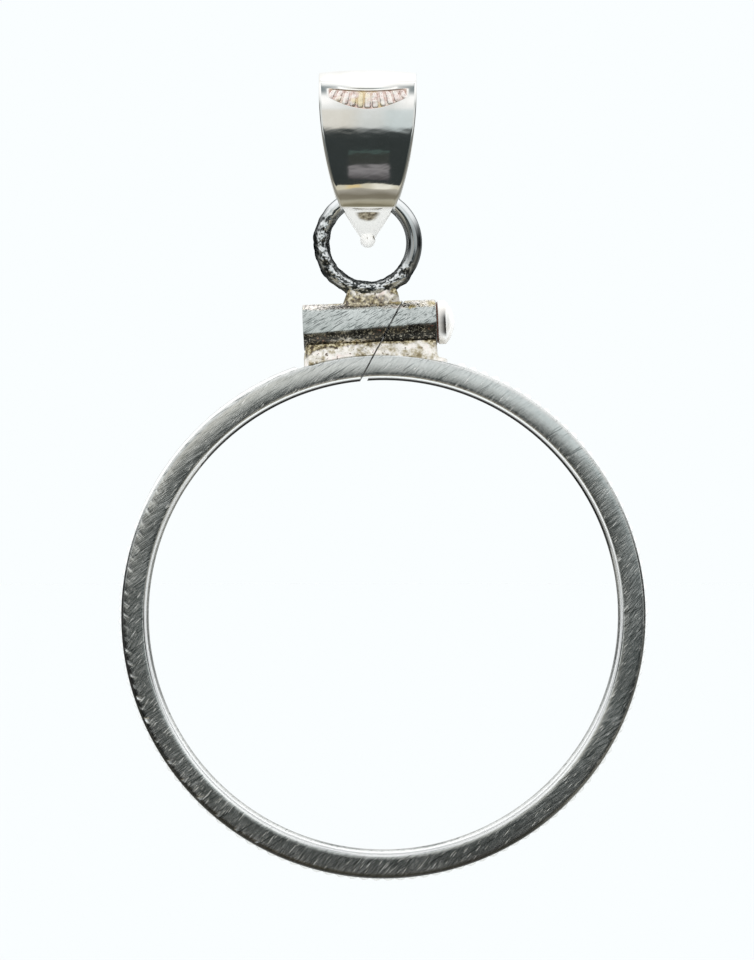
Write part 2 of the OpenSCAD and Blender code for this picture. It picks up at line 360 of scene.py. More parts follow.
def filed_sterling(name, deep_from):
    """Sterling silver drawn over a file and emery: a satin grey whose fine scratches rise to the
    right, steeper in some places than in others, with a few single ones painted lighter as painted
    glints. Its edges and the back lip are painted near white and matt as painted highlights and
    reflections, and painted shade darkens it where marked. Deep, dark scratches show where their
    noise is above deep_from."""
    material, tree, shader, place, bright, hollow, frosted = blank(name, "bright", "hollow", "frosted")
    # The file turned as it went round: patches of two directions, about 6 mm across.
    patch = add(tree, "TexNoise", {"Vector": place, "Scale": 0.16 / MM, "Detail": 1.0})
    turned = add(tree, "MapRange", {"Value": patch, "From Min": 0.44, "From Max": 0.56})
    grain = add(
        tree, "Mix",
        {"Factor": turned, "A": streaks(tree, place, 53, 0.3, 0.022),
         "B": streaks(tree, place, 36, 0.34, 0.022)},
    )
    broad = streaks(tree, place, 44, 0.6, 0.034)
    summed = add(tree, "Math", {0: broad, 1: 0.4, 2: grain}, operation="MULTIPLY_ADD")
    single = streaks(tree, place, 49, 0.26, 0.02, 0.0)
    single = add(tree, "MapRange", {"Value": single, "From Min": 0.72, "From Max": 0.82})
    height = add(tree, "Math", {0: single, 1: -1.0, 2: summed}, operation="MULTIPLY_ADD")
    smooth = add(tree, "MapRange", {"Value": bright, "To Min": 0.5, "To Max": 0.06})
    bump = add(tree, "Bump", {"Height": height, "Strength": smooth, "Distance": 0.005 * MM})
    # Clouds of stain are about 1.4 mm across. The scratches are darker, partly from dirt held in
    # them and partly as painted shade.
    stain = add(tree, "TexNoise", {"Vector": place, "Scale": 0.7 / MM, "Detail": 3.0})
    silver = add(
        tree, "ValToRGB", {0: stain}, steps={0.3: "#d4d6d4", 0.5: "#e2e4e2", 0.7: "#eceeec"}
    )
    grimy = add(tree, "ValToRGB", {0: grain}, steps={0.36: "#ffffff", 0.50: "#000000"})
    deep = add(
        tree, "ValToRGB", {0: streaks(tree, place, 32, 1.0, 0.03, 1.0)},
        steps={deep_from: "#000000", deep_from + 0.08: (0.8, 0.8, 0.8, 1.0)},
    )
    # The single scratches are painted lighter as painted glints, and the near white is painted highlight
    # and reflection.
    for share, over in (
        (grimy, "#bfc2c0"), (deep, "#696e6d"), (single, "#f4f4f2"), (bright, "#fcfefe"),
        # The dark is painted shade.
        (hollow, "#2e2f2e"),
    ):
        silver = add(tree, "Mix", {0: share, 6: silver, 7: over}, 2, data_type="RGBA")
    rough = add(tree, "MapRange", {"Value": grain, "To Min": 0.12, "To Max": 0.2})
    # The finest scratches scatter light, so they show light where the silver mirrors the dark.
    scuffed = add(
        tree, "MapRange", {"Value": grain, "From Min": 0.52, "From Max": 0.66, "To Max": 0.16}
    )
    scuffed = add(tree, "Math", {0: single, 1: 0.22, 2: scuffed}, operation="MULTIPLY_ADD")
    matt = add(tree, "Math", {0: frosted, 1: scuffed}, operation="MAXIMUM")
    metal = add(tree, "MapRange", {"Value": matt, "To Min": 1.0, "To Max": 0.0})
    plug(tree, shader, {"Base Color": silver, "Metallic": metal, "Roughness": rough, "Normal": bump})
    return material


put(channel_ring, "bezel", filed_sterling("filed_sterling_silver", 0.61))

# THE SCREW TUBE
# A thick tube soldered across the top of the ring and sawn through with it, so that the screw
# draws the two halves together. It is filed like the ring and pitted where the solder flowed.

tube_up, tube_r, bore_r = 14.18, 1.12, 0.63
tube_left, tube_right = -3.32, 3.18
# The length that a half is drawn at, and the lengths at its ends that are never stretched.
half_l, end_l = 3.4, 0.3


def circle(count):
    """So many angles, evenly round a circle from 0."""
    return np.linspace(0, 2 * np.pi, count, endpoint=False)


def cut_right(up, away):
    """How far right a line that leans like the saw cut is at a height above the ring's middle:
    (away + up * sin lean) / cos lean."""
    return (away + up * np.sin(cut_lean)) / np.cos(cut_lean)


def tube_half(end, side):
    """Half of the tube, a thick-walled section turned about the tube's axis. Its points lie a
    given way in from the flat end, or from the slanting cut, which is found at each point's own
    height. End is where the flat end is, and side is 1 on the right and -1 on the left."""
    wall = rounded([[0, bore_r], [0, tube_r], [half_l, tube_r], [half_l, bore_r]],
                   [0.04, 0.06, 0.045, 0.02])
    inwards, radius = filled(wall, 0.12).T
    round_axis = circle(120)[:, None]
    back, up = radius * np.sin(round_axis), tube_up + radius * np.cos(round_axis)
    at_cut = cut_right(up, cut_away + cut_skew * back + side * cut_half_w)
    from_ends = np.where(
        inwards > half_l / 2, at_cut + side * (half_l - inwards), end - side * inwards
    )
    stretch = (np.abs(at_cut - end) - 2 * end_l) / (half_l - 2 * end_l)
    even = end - side * (end_l + stretch * (inwards - end_l))
    right = np.where((inwards > end_l) & (inwards < half_l - end_l), even, from_ends)
    points = spread(right, back, up)
    outer = radius > tube_r - 0.02
    # How far the surface faces up, in degrees, and the edges of the filed band across the front.
    rising = np.degrees(np.arcsin(np.cos(round_axis)))
    wander = 4 * lumps(points, 1.3, 6) + 3 * lumps(points, 0.25, 7)
    # Below, and more to the right, the tube is marked black: scorch, darkened further by painted shade.
    scorched = ease(2.9 * right - 8 + wander - rising, -3, 5) * outer
    pitted = ease(rising - 42 + 1.2 * right + wander, 0, 6) * outer
    # Left of the cut, a smear of bright solder lies along the tube's underside.
    smear = ease(right, -2.2, -1.5) * ease(right, 0.0, -0.6)
    smear = smear * ease(rising + wander, -60, -52) * ease(rising + wander, -34, -42) * outer
    scorched, pitted = scorched * (1 - smear), np.maximum(pitted, smear)
    # The file has all but flattened the front, in a band that it cut deeper on the left.
    sweep = np.radians(25 - 2 * right)
    flat_up = np.radians(16 + 0.9 * right)
    depth = np.cos(flat_up) * -back + np.sin(flat_up) * (up - tube_up) - tube_r * np.cos(sweep)
    filed_off = 0.85 * np.clip(depth, 0, None) * outer
    points = points + filed_off[..., None] * spread(0, np.cos(flat_up), -np.sin(flat_up))
    dent = 0.008 * lumps(points, 0.9, 5) * outer
    dent += 0.014 * lumps(points, 0.16, 8) * np.maximum(scorched, pitted)
    # The bore and the saw cut's walls are marked for painted shade.
    sawn = (inwards > half_l - 0.002) & (radius < tube_r - 0.03)
    out = spread(0, np.sin(round_axis), np.cos(round_axis))
    return hung(points + dent[..., None] * out), spread(scorched, pitted, sawn | (radius < bore_r + 0.05))


right_half, right_marks = tube_half(tube_right, 1)
left_half, left_marks = tube_half(tube_left, -1)
tube_marks = np.concatenate([left_marks.reshape(-1, 3), right_marks.reshape(-1, 3)]).T
screw_tube = skin(
    "screw_tube", [(left_half, "ring"), (right_half, "ring")],
    scorched=tube_marks[0], pitted=tube_marks[1], hollow=tube_marks[2],
)


def scarred_sterling():
    """Sterling silver that was heated and then filed along the front. Below the filed band it is
    black with scorch and painted shade, with bright, golden and reddish specks, and above it cream
    and pitted."""
    material = filed_sterling("scarred_sterling_silver", 0.545)
    tree = material.node_tree
    shader = tree.nodes["Principled BSDF"]
    filed, scratched = (shader.inputs[name].links[0].from_socket for name in ("Base Color", "Normal"))
    place = add(tree, "TexCoord", {}, "Object")
    scorched = add(tree, "Attribute", {}, "Fac", attribute_name="scorched")
    pitted = add(tree, "Attribute", {}, "Fac", attribute_name="pitted")
    colour = add(
        tree, "Mix", {0: 1.0, 6: filed, 7: "#e2e6e6"}, 2, data_type="RGBA", blend_type="MULTIPLY"
    )
    # Specks are about 0.1 mm across and the stains about 0.8 mm.
    speck = add(tree, "TexNoise", {"Vector": place, "Scale": 10 / MM, "Detail": 3.0, "Roughness": 0.7})
    stain = add(tree, "TexNoise", {"Vector": place, "Scale": 1.3 / MM, "Detail": 2.0})
    ember = add(
        tree, "ValToRGB", {0: stain},
        steps={0.36: "#9a9a94", 0.47: "#c0bdb2", 0.63: "#a89f8c", 0.77: "#8e2f33"},
    )
    bright = add(tree, "ValToRGB", {0: speck}, steps={0.54: "#000000", 0.62: "#ffffff"})
    soot = add(tree, "ValToRGB", {0: stain}, steps={0.40: "#2b2c2b", 0.62: "#4c4c49"})
    scorch = add(tree, "Mix", {0: bright, 6: soot, 7: ember}, 2, data_type="RGBA")
    cream = add(
        tree, "ValToRGB", {0: stain},
        steps={0.36: "#bfae78", 0.44: "#e6ddc6", 0.54: "#fbf8f2", 0.68: "#f2e2da"},
    )
    pit = add(tree, "ValToRGB", {0: speck}, steps={0.42: "#ffffff", 0.48: "#000000"})
    cream = add(tree, "Mix", {0: pit, 6: cream, 7: "#35301f"}, 2, data_type="RGBA")
    for share, over in ((scorched, scorch), (pitted, cream)):
        colour = add(tree, "Mix", {0: share, 6: colour, 7: over}, 2, data_type="RGBA")
    rugged = add(tree, "Math", {0: scorched, 1: pitted}, operation="MAXIMUM")
    pits = add(
        tree, "Bump",
        {"Height": speck, "Strength": rugged, "Distance": 0.02 * MM, "Normal": scratched},
    )
    plug(tree, shader, {"Base Color": colour, "Normal": pits})
    return material


put(screw_tube, "bezel", scarred_sterling())

# THE SOLDER BETWEEN TUBE AND RING
# Hard solder run along both sides of the tube and over the ring's edge, left rough. Heat has
# tinted it golden and pink. The saw cut parts it too.

# The feet and the buried underside, from the ring's middle, how far the waist is above the feet,
# and how far the top is under the tube's axis. Half widths at the feet and at the top.
foot_r, buried_r, waist_up, top_down, foot_half_w, top_half_w = 12.70, 12.5, 0.3, 0.86, 1.165, 0.76
# The length over which an end is rounded, and the solder's height where it is past the tube.
end_round, thin_h = 0.45, 0.12
# Points along each side of a slice, and along its underside.
side_steps, foot_steps = 16, 3


def bowed(first, pull, last, steps):
    """Two curves a slice, in front and behind, from a first place to a last one, pulled towards a
    third: (1-t)^2 * first + 2t(1-t) * pull + t^2 * last. A place is how far back and how far up."""
    t = np.linspace(0, 1, steps)[:, None]
    behind = (1 - t) ** 2 * first[:, None] + 2 * t * (1 - t) * pull[:, None] + t ** 2 * last[:, None]
    return behind * np.array([-1, 1]), behind


def to_cut(loop, share, end, side):
    """Slices set out from an end to the saw cut, which is found at each point's own height: end +
    share * (cut - end)."""
    back, up = np.moveaxis(loop, -1, 0)
    at_cut = cut_right(up, cut_away + cut_skew * back + side * cut_half_w)
    return spread(end + share[:, None] * (at_cut - end), back, up)


def ring_solder(end, side):
    """Solder from a rounded end to the saw cut. Across, it is concave in front and behind, from
    under the tube down to the ring's bevels, and closed inside the tube and inside the ring. Also
    gives how dark each point is."""
    share = np.linspace(0, 1, 90)
    right = end + share * (cut_right(13.0, cut_away + side * cut_half_w) - end)
    grown = np.sqrt(1 - (1 - np.clip(np.abs(right - end) / end_round, 0, 1)) ** 2)
    tube_end = tube_right if side > 0 else tube_left
    under_tube = ease(side * (tube_end - right), -0.12, 0.12)
    foot_up = np.sqrt(foot_r ** 2 - right ** 2)
    low_up = np.sqrt(buried_r ** 2 - right ** 2)
    top_up = foot_up + thin_h + (tube_up - top_down - foot_up - thin_h) * under_tube
    top_back = top_half_w * (0.35 + 0.65 * grown) * (0.3 + 0.7 * under_tube)
    foot_back = foot_half_w * (0.35 + 0.65 * grown)
    front, behind = bowed(
        spread(top_back, top_up), spread(0.86 * grown + 0.1, foot_up + waist_up),
        spread(foot_back, foot_up), side_steps,
    )
    low = [spread(back * foot_back, low_up)[:, None] for back in np.linspace(-0.8, 0.8, foot_steps)]
    points = to_cut(np.concatenate([front, *low, behind[:, ::-1]], 1), share, end, side)
    shown = np.repeat([1, 0, 1], [side_steps, foot_steps, side_steps])
    rise = 0.04 * lumps(points, 0.9, 11) + 0.008 * lumps(points, 0.3, 12)
    rise *= shown * ease(share, 0, 0.03)[:, None]
    points[..., 1] += rise * np.sign(points[..., 1])
    points[..., 2] += 0.6 * rise
    # Under the tube, the upper part of each fillet is darker, most of all at the left end.
    upwards = np.linspace(0, 1, side_steps)
    up_fillet = np.concatenate([upwards[::-1], np.zeros(foot_steps), upwards])
    edge = 0.86 - 0.12 * ease(points[..., 0], 0.2, -0.6) - 0.22 * ease(points[..., 0], -2.6, -3.1)
    edge = edge + 0.14 * lumps(points, 0.8, 13) + 0.06 * lumps(points, 0.2, 14)
    return points, ease(up_fillet - edge, -0.06, 0.1)


left_fillet, left_soot = ring_solder(tube_left - 0.03, -1)
right_fillet, right_soot = ring_solder(tube_right + 0.45, 1)
tube_solder = skin(
    "tube_solder", [(hung(left_fillet), "capped"), (hung(right_fillet), "capped")],
    soot=np.concatenate([left_soot.ravel(), right_soot.ravel()]),
)


def hard_solder():
    """Hard silver solder as it froze, wavy and glossy: cream and pink where copper oxide tints it,
    golden brown in the hollows, with small dark pits. Half of its light is scattered by oxide."""
    material, tree, shader, place, soot = blank("heat_tinted_hard_solder", "soot")
    # Tinted patches are about 0.45 mm across and the pits about 0.15 mm.
    patch = add(tree, "TexNoise", {"Vector": place, "Scale": 2.2 / MM, "Detail": 4.0, "Roughness": 0.65})
    pits = add(tree, "TexNoise", {"Vector": place, "Scale": 6.5 / MM, "Detail": 2.0, "Roughness": 0.6})
    tint = add(
        tree, "ValToRGB", {0: patch},
        steps={0.33: "#83775a", 0.41: "#b5ac95", 0.47: "#d6d1c5", 0.56: "#f3f0ea",
               0.68: "#eee0d9"},
    )
    pitted = add(tree, "ValToRGB", {0: pits}, steps={0.32: "#ffffff", 0.37: "#000000"})
    black = add(
        tree, "ValToRGB", {0: pits},
        steps={0.38: "#3d3226", 0.47: "#6e6246", 0.56: "#a89c78", 0.68: "#e0d8c0"},
    )
    # Where marked, the solder is darker: under the tube, and at the saddle's upper corners.
    for share, over in ((pitted, "#5a4a38"), (soot, black)):
        tint = add(tree, "Mix", {0: share, 6: tint, 7: over}, 2, data_type="RGBA")
    bump = add(tree, "Bump", {"Height": pits, "Strength": 0.08, "Distance": 0.02 * MM})
    plug(tree, shader, {"Base Color": tint, "Metallic": 0.5, "Roughness": 0.28, "Normal": bump})
    return material


solder = hard_solder()
put(tube_solder, "bezel", solder)

# THE HANGING LOOP
# A closed jump ring of round silver wire, soldered upright on the tube. The torch has pitted its
# left side and its foot, and its right side is still smooth and bright.

loop_up, loop_r, wire_r = 18.19, 2.26, 0.39


def pitted_wire():
    """A torus whose wire is pitted: middle + loop radius + wire radius * (1 + pits), where the
    pits grow from the top round the left side to the foot, and are drawn out along the wire. Also
    gives how pitted each point is, and how dark: sooty in the hollows, painted shade on the flanks
    and the right side."""
    round_loop, round_wire = circle(520)[:, None], circle(84)
    sine, cosine = np.sin(round_wire), np.cos(round_wire)
    out = spread(cosine * np.sin(round_loop), -sine, cosine * np.cos(round_loop))
    wire = loop_r * spread(np.sin(round_loop), 0, np.cos(round_loop))
    points = wire + wire_r * out + np.array([0, 0, loop_up])
    clock = np.degrees(round_loop)
    pitted = ease(clock, 112, 128) * ease(clock, 322, 292) + 0 * round_wire
    # Lumps half as wide as long, because the metal ran along the wire as it melted.
    flowed = spread(0.5 * loop_r * round_loop, wire_r * cosine, wire_r * sine)
    coarse, medium, fine = lumps(points, 0.75, 21), lumps(flowed, 0.27, 22), lumps(flowed, 0.11, 23)
    rise = 0.04 * coarse + 0.03 * medium + 0.011 * fine - 0.02 * ease(medium, 0.2, 0.7)
    knob = np.exp(-(((clock - 137) / 6) ** 2)) * ease(cosine, 0.2, 1) * 0.1
    points += (pitted * rise + knob)[..., None] * out
    # Soot lies in the hollows of the pits, and both flanks of the wire are painted dark as painted
    # shade. Where the wire is smooth, its right side is painted a little darker all over: painted shade.
    aside = np.abs(cosine)
    burnt = np.maximum(ease(-0.6 * medium - 0.5 * fine, -0.1, 0.2), 0.95 * ease(aside, 0.5, 0.75))
    on_right = ease(clock, 60, 78) * (clock < 200)
    flanks = ease(aside, 0.4, 0.65) * np.where(cosine > 0, on_right, 1)
    flanks = np.maximum(flanks * ease(aside, 1.0, 0.95), 0.85 * ease(aside, 0.8, 0.93))
    return points, pitted, pitted * burnt + (1 - pitted) * np.maximum(0.8 * flanks, 0.5 * on_right)


loop_points, loop_pitted, loop_soot = pitted_wire()
hanging_loop = skin(
    "hanging_loop", [(hung(loop_points), "ring")], sharp=80, pitted=loop_pitted, soot=loop_soot
)


def torched_sterling():
    """Drawn sterling silver wire, bright where the flame missed it, and frosted, pitted and sooty
    where it didn't. Its flanks and its smooth right side are darkened by painted shade."""
    material, tree, shader, place, pitted, soot = blank("torched_sterling_silver", "pitted", "soot")
    # The frosting has grains of about 0.17 mm.
    grain = add(tree, "TexNoise", {"Vector": place, "Scale": 6 / MM, "Detail": 3.0, "Roughness": 0.6})
    tint = add(tree, "Mix", {0: soot, 6: "#e8ebec", 7: "#464949"}, 2, data_type="RGBA")
    strength = add(tree, "MapRange", {"Value": pitted, "To Min": 0.02, "To Max": 0.08})
    bump = add(tree, "Bump", {"Height": grain, "Strength": strength, "Distance": 0.03 * MM})
    rough = add(tree, "MapRange", {"Value": pitted, "To Min": 0.08, "To Max": 0.16})
    plug(tree, shader, {"Base Color": tint, "Metallic": 1.0, "Roughness": rough, "Normal": bump,
                        "Specular Tint": tint})
    return material


put(hanging_loop, "bezel", torched_sterling())

# THE SOLDER UNDER THE LOOP
# A saddle of the same solder that fills the narrow space between the loop's foot and the tube.
# It ends on the right at the saw cut, so the loop sits on the left half of the tube alone.

saddle_left, saddle_right = -1.42, 1.62
# Half widths at the tube, at the waist and at the wire, and how far the foot is above the tube's
# axis.
saddle_half_ws, saddle_foot = (0.68, 0.36, 0.3), 0.9


def loop_solder():
    """The saddle, from its rounded left end to the saw cut: a waist from the top of the tube to
    the underside of the wire, which it follows, closed inside the tube and inside the wire. Also
    gives how dark each point is."""
    share = np.linspace(0, 1, 80)
    right = saddle_left + share * (saddle_right - saddle_left)
    wire_up = loop_up - np.sqrt(loop_r ** 2 - right ** 2)
    ends = ease(share, 0, 0.16) * ease(share, 1.0, 0.72)
    foot_up = tube_up + saddle_foot
    head_up = foot_up + thin_h + (wire_up - 0.1 - foot_up - thin_h) * ends
    at_tube, waist, at_wire = saddle_half_ws
    front, behind = bowed(
        spread(at_tube * (0.45 + 0.55 * ends), foot_up),
        spread(waist * (0.6 + 0.4 * ends), foot_up + 0.22 * ends),
        spread(at_wire * (0.5 + 0.5 * ends), head_up), 18,
    )
    points = to_cut(np.concatenate([front, behind[:, ::-1]], 1), share, saddle_left, -1)
    rise = 0.045 * lumps(points, 0.6, 31) + 0.008 * lumps(points, 0.25, 32)
    rise *= ease(share, 0, 0.04)[:, None] * ease(share, 1.0, 0.97)[:, None]
    points[..., 1] += rise * np.sign(points[..., 1])
    points[..., 2] += 0.3 * rise
    # A brown, speckled stain lies across the middle of its lower half, and its upper corners,
    # against the wire, are black.
    ragged = 0.1 * lumps(points, 0.3, 33)
    ragged_up = points[..., 2] - foot_up + ragged
    low = ease(ragged_up, 0.62, 0.4)
    inner = ease(points[..., 0], -1.6, -1.2) * ease(points[..., 0], 1.2, 0.5)
    corners = ease(np.abs(points[..., 0] - 0.05) + ragged, 0.75, 1.05)
    return points, np.maximum(0.85 * low * inner, corners * ease(ragged_up, 0.42, 0.55))


saddle_points, saddle_soot = loop_solder()
saddle = skin("loop_solder", [(hung(saddle_points), "capped")], soot=saddle_soot)
put(saddle, "bezel", solder)

# THE CLOSING SCREW
# A turned silver screw with a round slotted head. Its shank runs plain through the right half of
# the tube, and its thread draws in the left half.

head_r, neck_r, shank_r, collar_t, dome_h = 1.06, 1.0, 0.6, 0.36, 0.44
head_gap, shank_l, slot_half_w, slot_depth = 0.08, 6.0, 0.17, 0.4
thread_pitch, thread_depth, thread_l = 0.25, 0.085, 3.0
head_right = tube_right + head_gap


def screw_head():
    """The head as slices across it, each a closed loop: over the dome from side to side, down the
    collar and back underneath. The dome is a cap of a sphere, and the slot is a step down to a flat
    floor. Slices at the slot's walls come in pairs, one at each height."""
    wall = slot_half_w / head_r
    quarter = np.linspace(0, np.pi / 2, 40)
    slices = np.concatenate([
        -np.cos(quarter) * (1 - wall) - wall, np.linspace(-wall, wall, 9),
        wall + (1 - wall) * np.sin(quarter),
    ])
    in_slot = np.repeat([False, True, False], [40, 9, 40])[:, None]
    half = np.sqrt(np.clip(1 - slices ** 2, 0, 1))
    dome_r = (head_r ** 2 + dome_h ** 2) / (2 * dome_h)
    back, up = head_r * slices[:, None], head_r * half[:, None] * np.linspace(-1, 1, 41)
    bulge = np.sqrt(dome_r ** 2 - back ** 2 - up ** 2) - dome_r + dome_h
    bulge = np.where(in_slot, np.minimum(bulge, dome_h - slot_depth), bulge)
    # How deep and how wide the head is, over the collar's edge and in underneath.
    collar = [(0.02, 1.0), (0.05, 1.004), (collar_t - 0.03, 1.0), (collar_t, 0.97), (collar_t, 0.5)]
    rim = [
        spread(collar_t - deep, wide * head_r * slices, way * wide * head_r * half)[:, None]
        for way, edge in ((1, collar), (-1, collar[::-1])) for deep, wide in edge
    ]
    head = np.concatenate([spread(collar_t + bulge, back, up), *rim], 1)
    return hung(head + np.array([head_right, 0, tube_up]))


def grimy_neck():
    """The short neck under the head, a plain drum nearly as wide as it, painted dark reddish brown:
    dirt, and painted shade in the gap under the head.
    """
    turn = circle(96)
    ends = np.array([tube_right + 0.012, head_right + 0.02])[:, None]
    return hung(spread(ends, neck_r * np.sin(turn), tube_up + neck_r * np.cos(turn)))


def screw_shank():
    """The shank turned about its axis: a plain rod whose left end is tapered, less a thread, a
    ridge that climbs one pitch a turn: radius - depth * |2 * (x / pitch - turn) rounded - itself|."""
    tip = tube_right - shank_l
    along = np.concatenate([
        tip + np.array([0, 0, 0.02]), np.linspace(tip + 0.03, tip + thread_l, 220),
        np.linspace(tip + thread_l + 0.05, head_right + 0.2, 12),
    ])
    turn = circle(48)[:, None]
    climb = (along - tip) / thread_pitch - turn / (2 * np.pi)
    ridge = 2 * np.abs(climb - np.round(climb))
    cut = thread_depth * (1 - ease(ridge, 0.15, 0.9))
    cut = cut * ease(along, tip + thread_l, tip + thread_l - 0.3)
    r = shank_r - cut - 0.12 * ease(along, tip + 0.3, tip)
    r[:, :3] = [0.0001, 0.42, 0.46]
    points = spread(along, r * np.sin(turn), tube_up + r * np.cos(turn))
    return hung(points.transpose(1, 0, 2))


head, neck, shank = screw_head(), grimy_neck(), screw_shank()
counts = [part.size // 3 for part in (head, neck, shank)]
# The collar is painted black about the middle of its sides: a painted dark reflection.
from_middle = (head - hung([head_right, 0, tube_up])) / MM
height, reach = from_middle @ up_pendant, from_middle @ along_tube
black_collar = ease(height, 0.75, 0.1) * ease(height, -0.8, -0.5) * ease(reach, -0.01, 0.12)
black_collar = black_collar * (reach < collar_t + 0.001)
closing_screw = skin(
    "closing_screw", [(head, "drawn"), (neck, "capped"), (shank, "capped")], sharp=30,
    # The neck is painted dark reddish brown: dirt, and painted shade in the gap under the head.
    grime=np.repeat([0, 1, 0], counts),
    scorched=np.concatenate([black_collar.ravel(), np.zeros(counts[1] + counts[2])]),
)


def turned_sterling():
    """Sterling silver turned on a lathe and polished: bright, with faint rings round its axis."""
    material, tree, shader, place, grime, scorched = blank("turned_sterling_silver", "grime", "scorched")
    centred = add(
        tree, "Mapping",
        {"Vector": place, "Location": tuple(hung([0, 0, tube_up])),
         "Rotation": (0, -np.arctan2(along_tube[2], along_tube[0]), 0)},
        vector_type="TEXTURE",
    )
    # Tool marks are about 0.03 mm apart. They are drawn 2 pi / (20 * 0.9) = 0.35 mm apart, because
    # the node draws 20 * scale / (2 pi) rings, and closer ones would not show.
    rings = add(
        tree, "TexWave", {"Vector": centred, "Scale": 0.9 / MM, "Distortion": 1.5, "Detail": 2.0},
        "Fac", wave_type="RINGS", rings_direction="X",
    )
    bump = add(tree, "Bump", {"Height": rings, "Strength": 0.12, "Distance": 0.01 * MM})
    # Smears are about 0.7 mm across.
    smear = add(tree, "TexNoise", {"Vector": place, "Scale": 1.5 / MM, "Detail": 2.0})
    tint = add(tree, "ValToRGB", {0: smear}, steps={0.35: "#eeebe6", 0.55: "#fbfbf9"})
    # The collar's black is a painted dark reflection.
    for share, over in ((grime, "#5b3626"), (scorched, "#2c2926")):
        tint = add(tree, "Mix", {0: share, 6: tint, 7: over}, 2, data_type="RGBA")
    plug(tree, shader, {"Base Color": tint, "Metallic": 0.3, "Roughness": 0.25, "Normal": bump})
    return material


put(closing_screw, "screw", turned_sterling())

# THE BAIL
# A tapered strip of sterling silver sheet, folded over the chain and polished like a mirror. Each
# leaf curves in to a crease, and the tips below it meet in a point.

bail_half_w, sheet_t, fold_top = 2.375, 0.45, 0.45
tip_half_w, taper_down, crease_down, bead_down, side_r = 0.33, 0.68, 6.34, 7.84, 16.4
# How far the front of a leaf is crowned from side to side, and the tongue below its crease, as the
# radii of those curves.
crown_r, tongue_crown_r = 20.0, 3.4
# Distance along the sheet from the top of the fold, and how many degrees up from facing
# forwards its surface leans there. The crease is where the lean jumps.
BENDS = [
    # along, lean_up
    (0.00, 90.0), (1.55, 48.0), (2.90, 11.6), (3.40, 1.7), (4.30, -1.9), (5.25, -4.0),
    (6.00, -5.8), (6.82, -7.8), (7.12, -10.5), (7.47, -15.5), (7.97, -22.5), (8.05, -24.0),
    (8.13, -48.0), (10.20, -48.0),
]
crease_along, leaf_l, leaf_rows = BENDS[-2][0], BENDS[-1][0], 1035


def leaf_path():
    """The front leaf's outer surface seen from the side, as (along, back, up, lean, inner lean):
    the surface turns as BENDS says, eased by a short running mean, and its place is the running
    sum of its direction. The inner side turns over a longer stretch, as bent sheet does."""
    along = np.linspace(0, leaf_l, leaf_rows)
    lean = np.interp(along, *np.transpose(BENDS))
    step = along[1]
    eased = []
    for length in (0.045, 0.5):
        reach = int(length / step / 2)
        window = np.ones(2 * reach + 1) / (2 * reach + 1)
        longer = np.pad(lean, reach, "reflect", reflect_type="odd")
        eased.append(np.radians(np.convolve(longer, window, "valid")))
    back = -step * np.cumsum(np.sin(eased[0]))
    up = fold_top - step * np.cumsum(np.cos(eased[0]))
    return along, back, up, *eased


def half_width(up):
    """Half of the bail's width at a height: straight over the fold, then the arc of a large
    circle down to the crease, then a straight taper to the tip."""
    down = np.clip(-np.asarray(up), 0, None)
    low = np.clip(down, taper_down, crease_down)
    arc = bail_half_w - side_r + np.sqrt(side_r ** 2 - (low - taper_down) ** 2)
    share = np.clip(down - crease_down, 0, None) / (bead_down - crease_down)
    return arc + share * (tip_half_w - arc)


# The ornament on the front of the fold: a sunk field shaped like a smile, with short plain bars
# that fan out over it, below a groove. Its edges are distances along the sheet from the top of the
# fold, in the middle and at the field's ends.
field_half_w, bars, bar_half_w, bar_h = 1.92, 11, 0.125, 0.06
groove_edge, field_top, field_bottom = (2.26, 1.98), (2.36, 2.14), (3.26, 2.62)
groove_half_w, groove_deep, field_deep = 1.45, 0.04, 0.05
# The lens-shaped patch on the tongue that is painted dark as a painted reflection: half of its
# width, where its middle is along the sheet, and its reach above and below that.
lens_half_w, lens_along, lens_above, lens_below = 0.66, 8.48, 0.14, 0.6


def band_edge(across, middle, end):
    """An edge of the ornament: a parabola from its place in the middle to its place at the ends."""
    return middle + (end - middle) * (across / field_half_w) ** 2


def relief_field(across, along):
    """1 inside the sunk field and 0 outside, with soft edges."""
    inside = ease(along - band_edge(across, *field_top), -0.03, 0.03)
    inside = inside * ease(band_edge(across, *field_bottom) - along, -0.04, 0.04)
    return inside * ease(field_half_w - np.abs(across), -0.05, 0.3)


def over_fold(front, behind):
    """Rows of both leaves, from the front tip over the fold to the back tip."""
    return np.concatenate([front[::-1], behind[1:]])


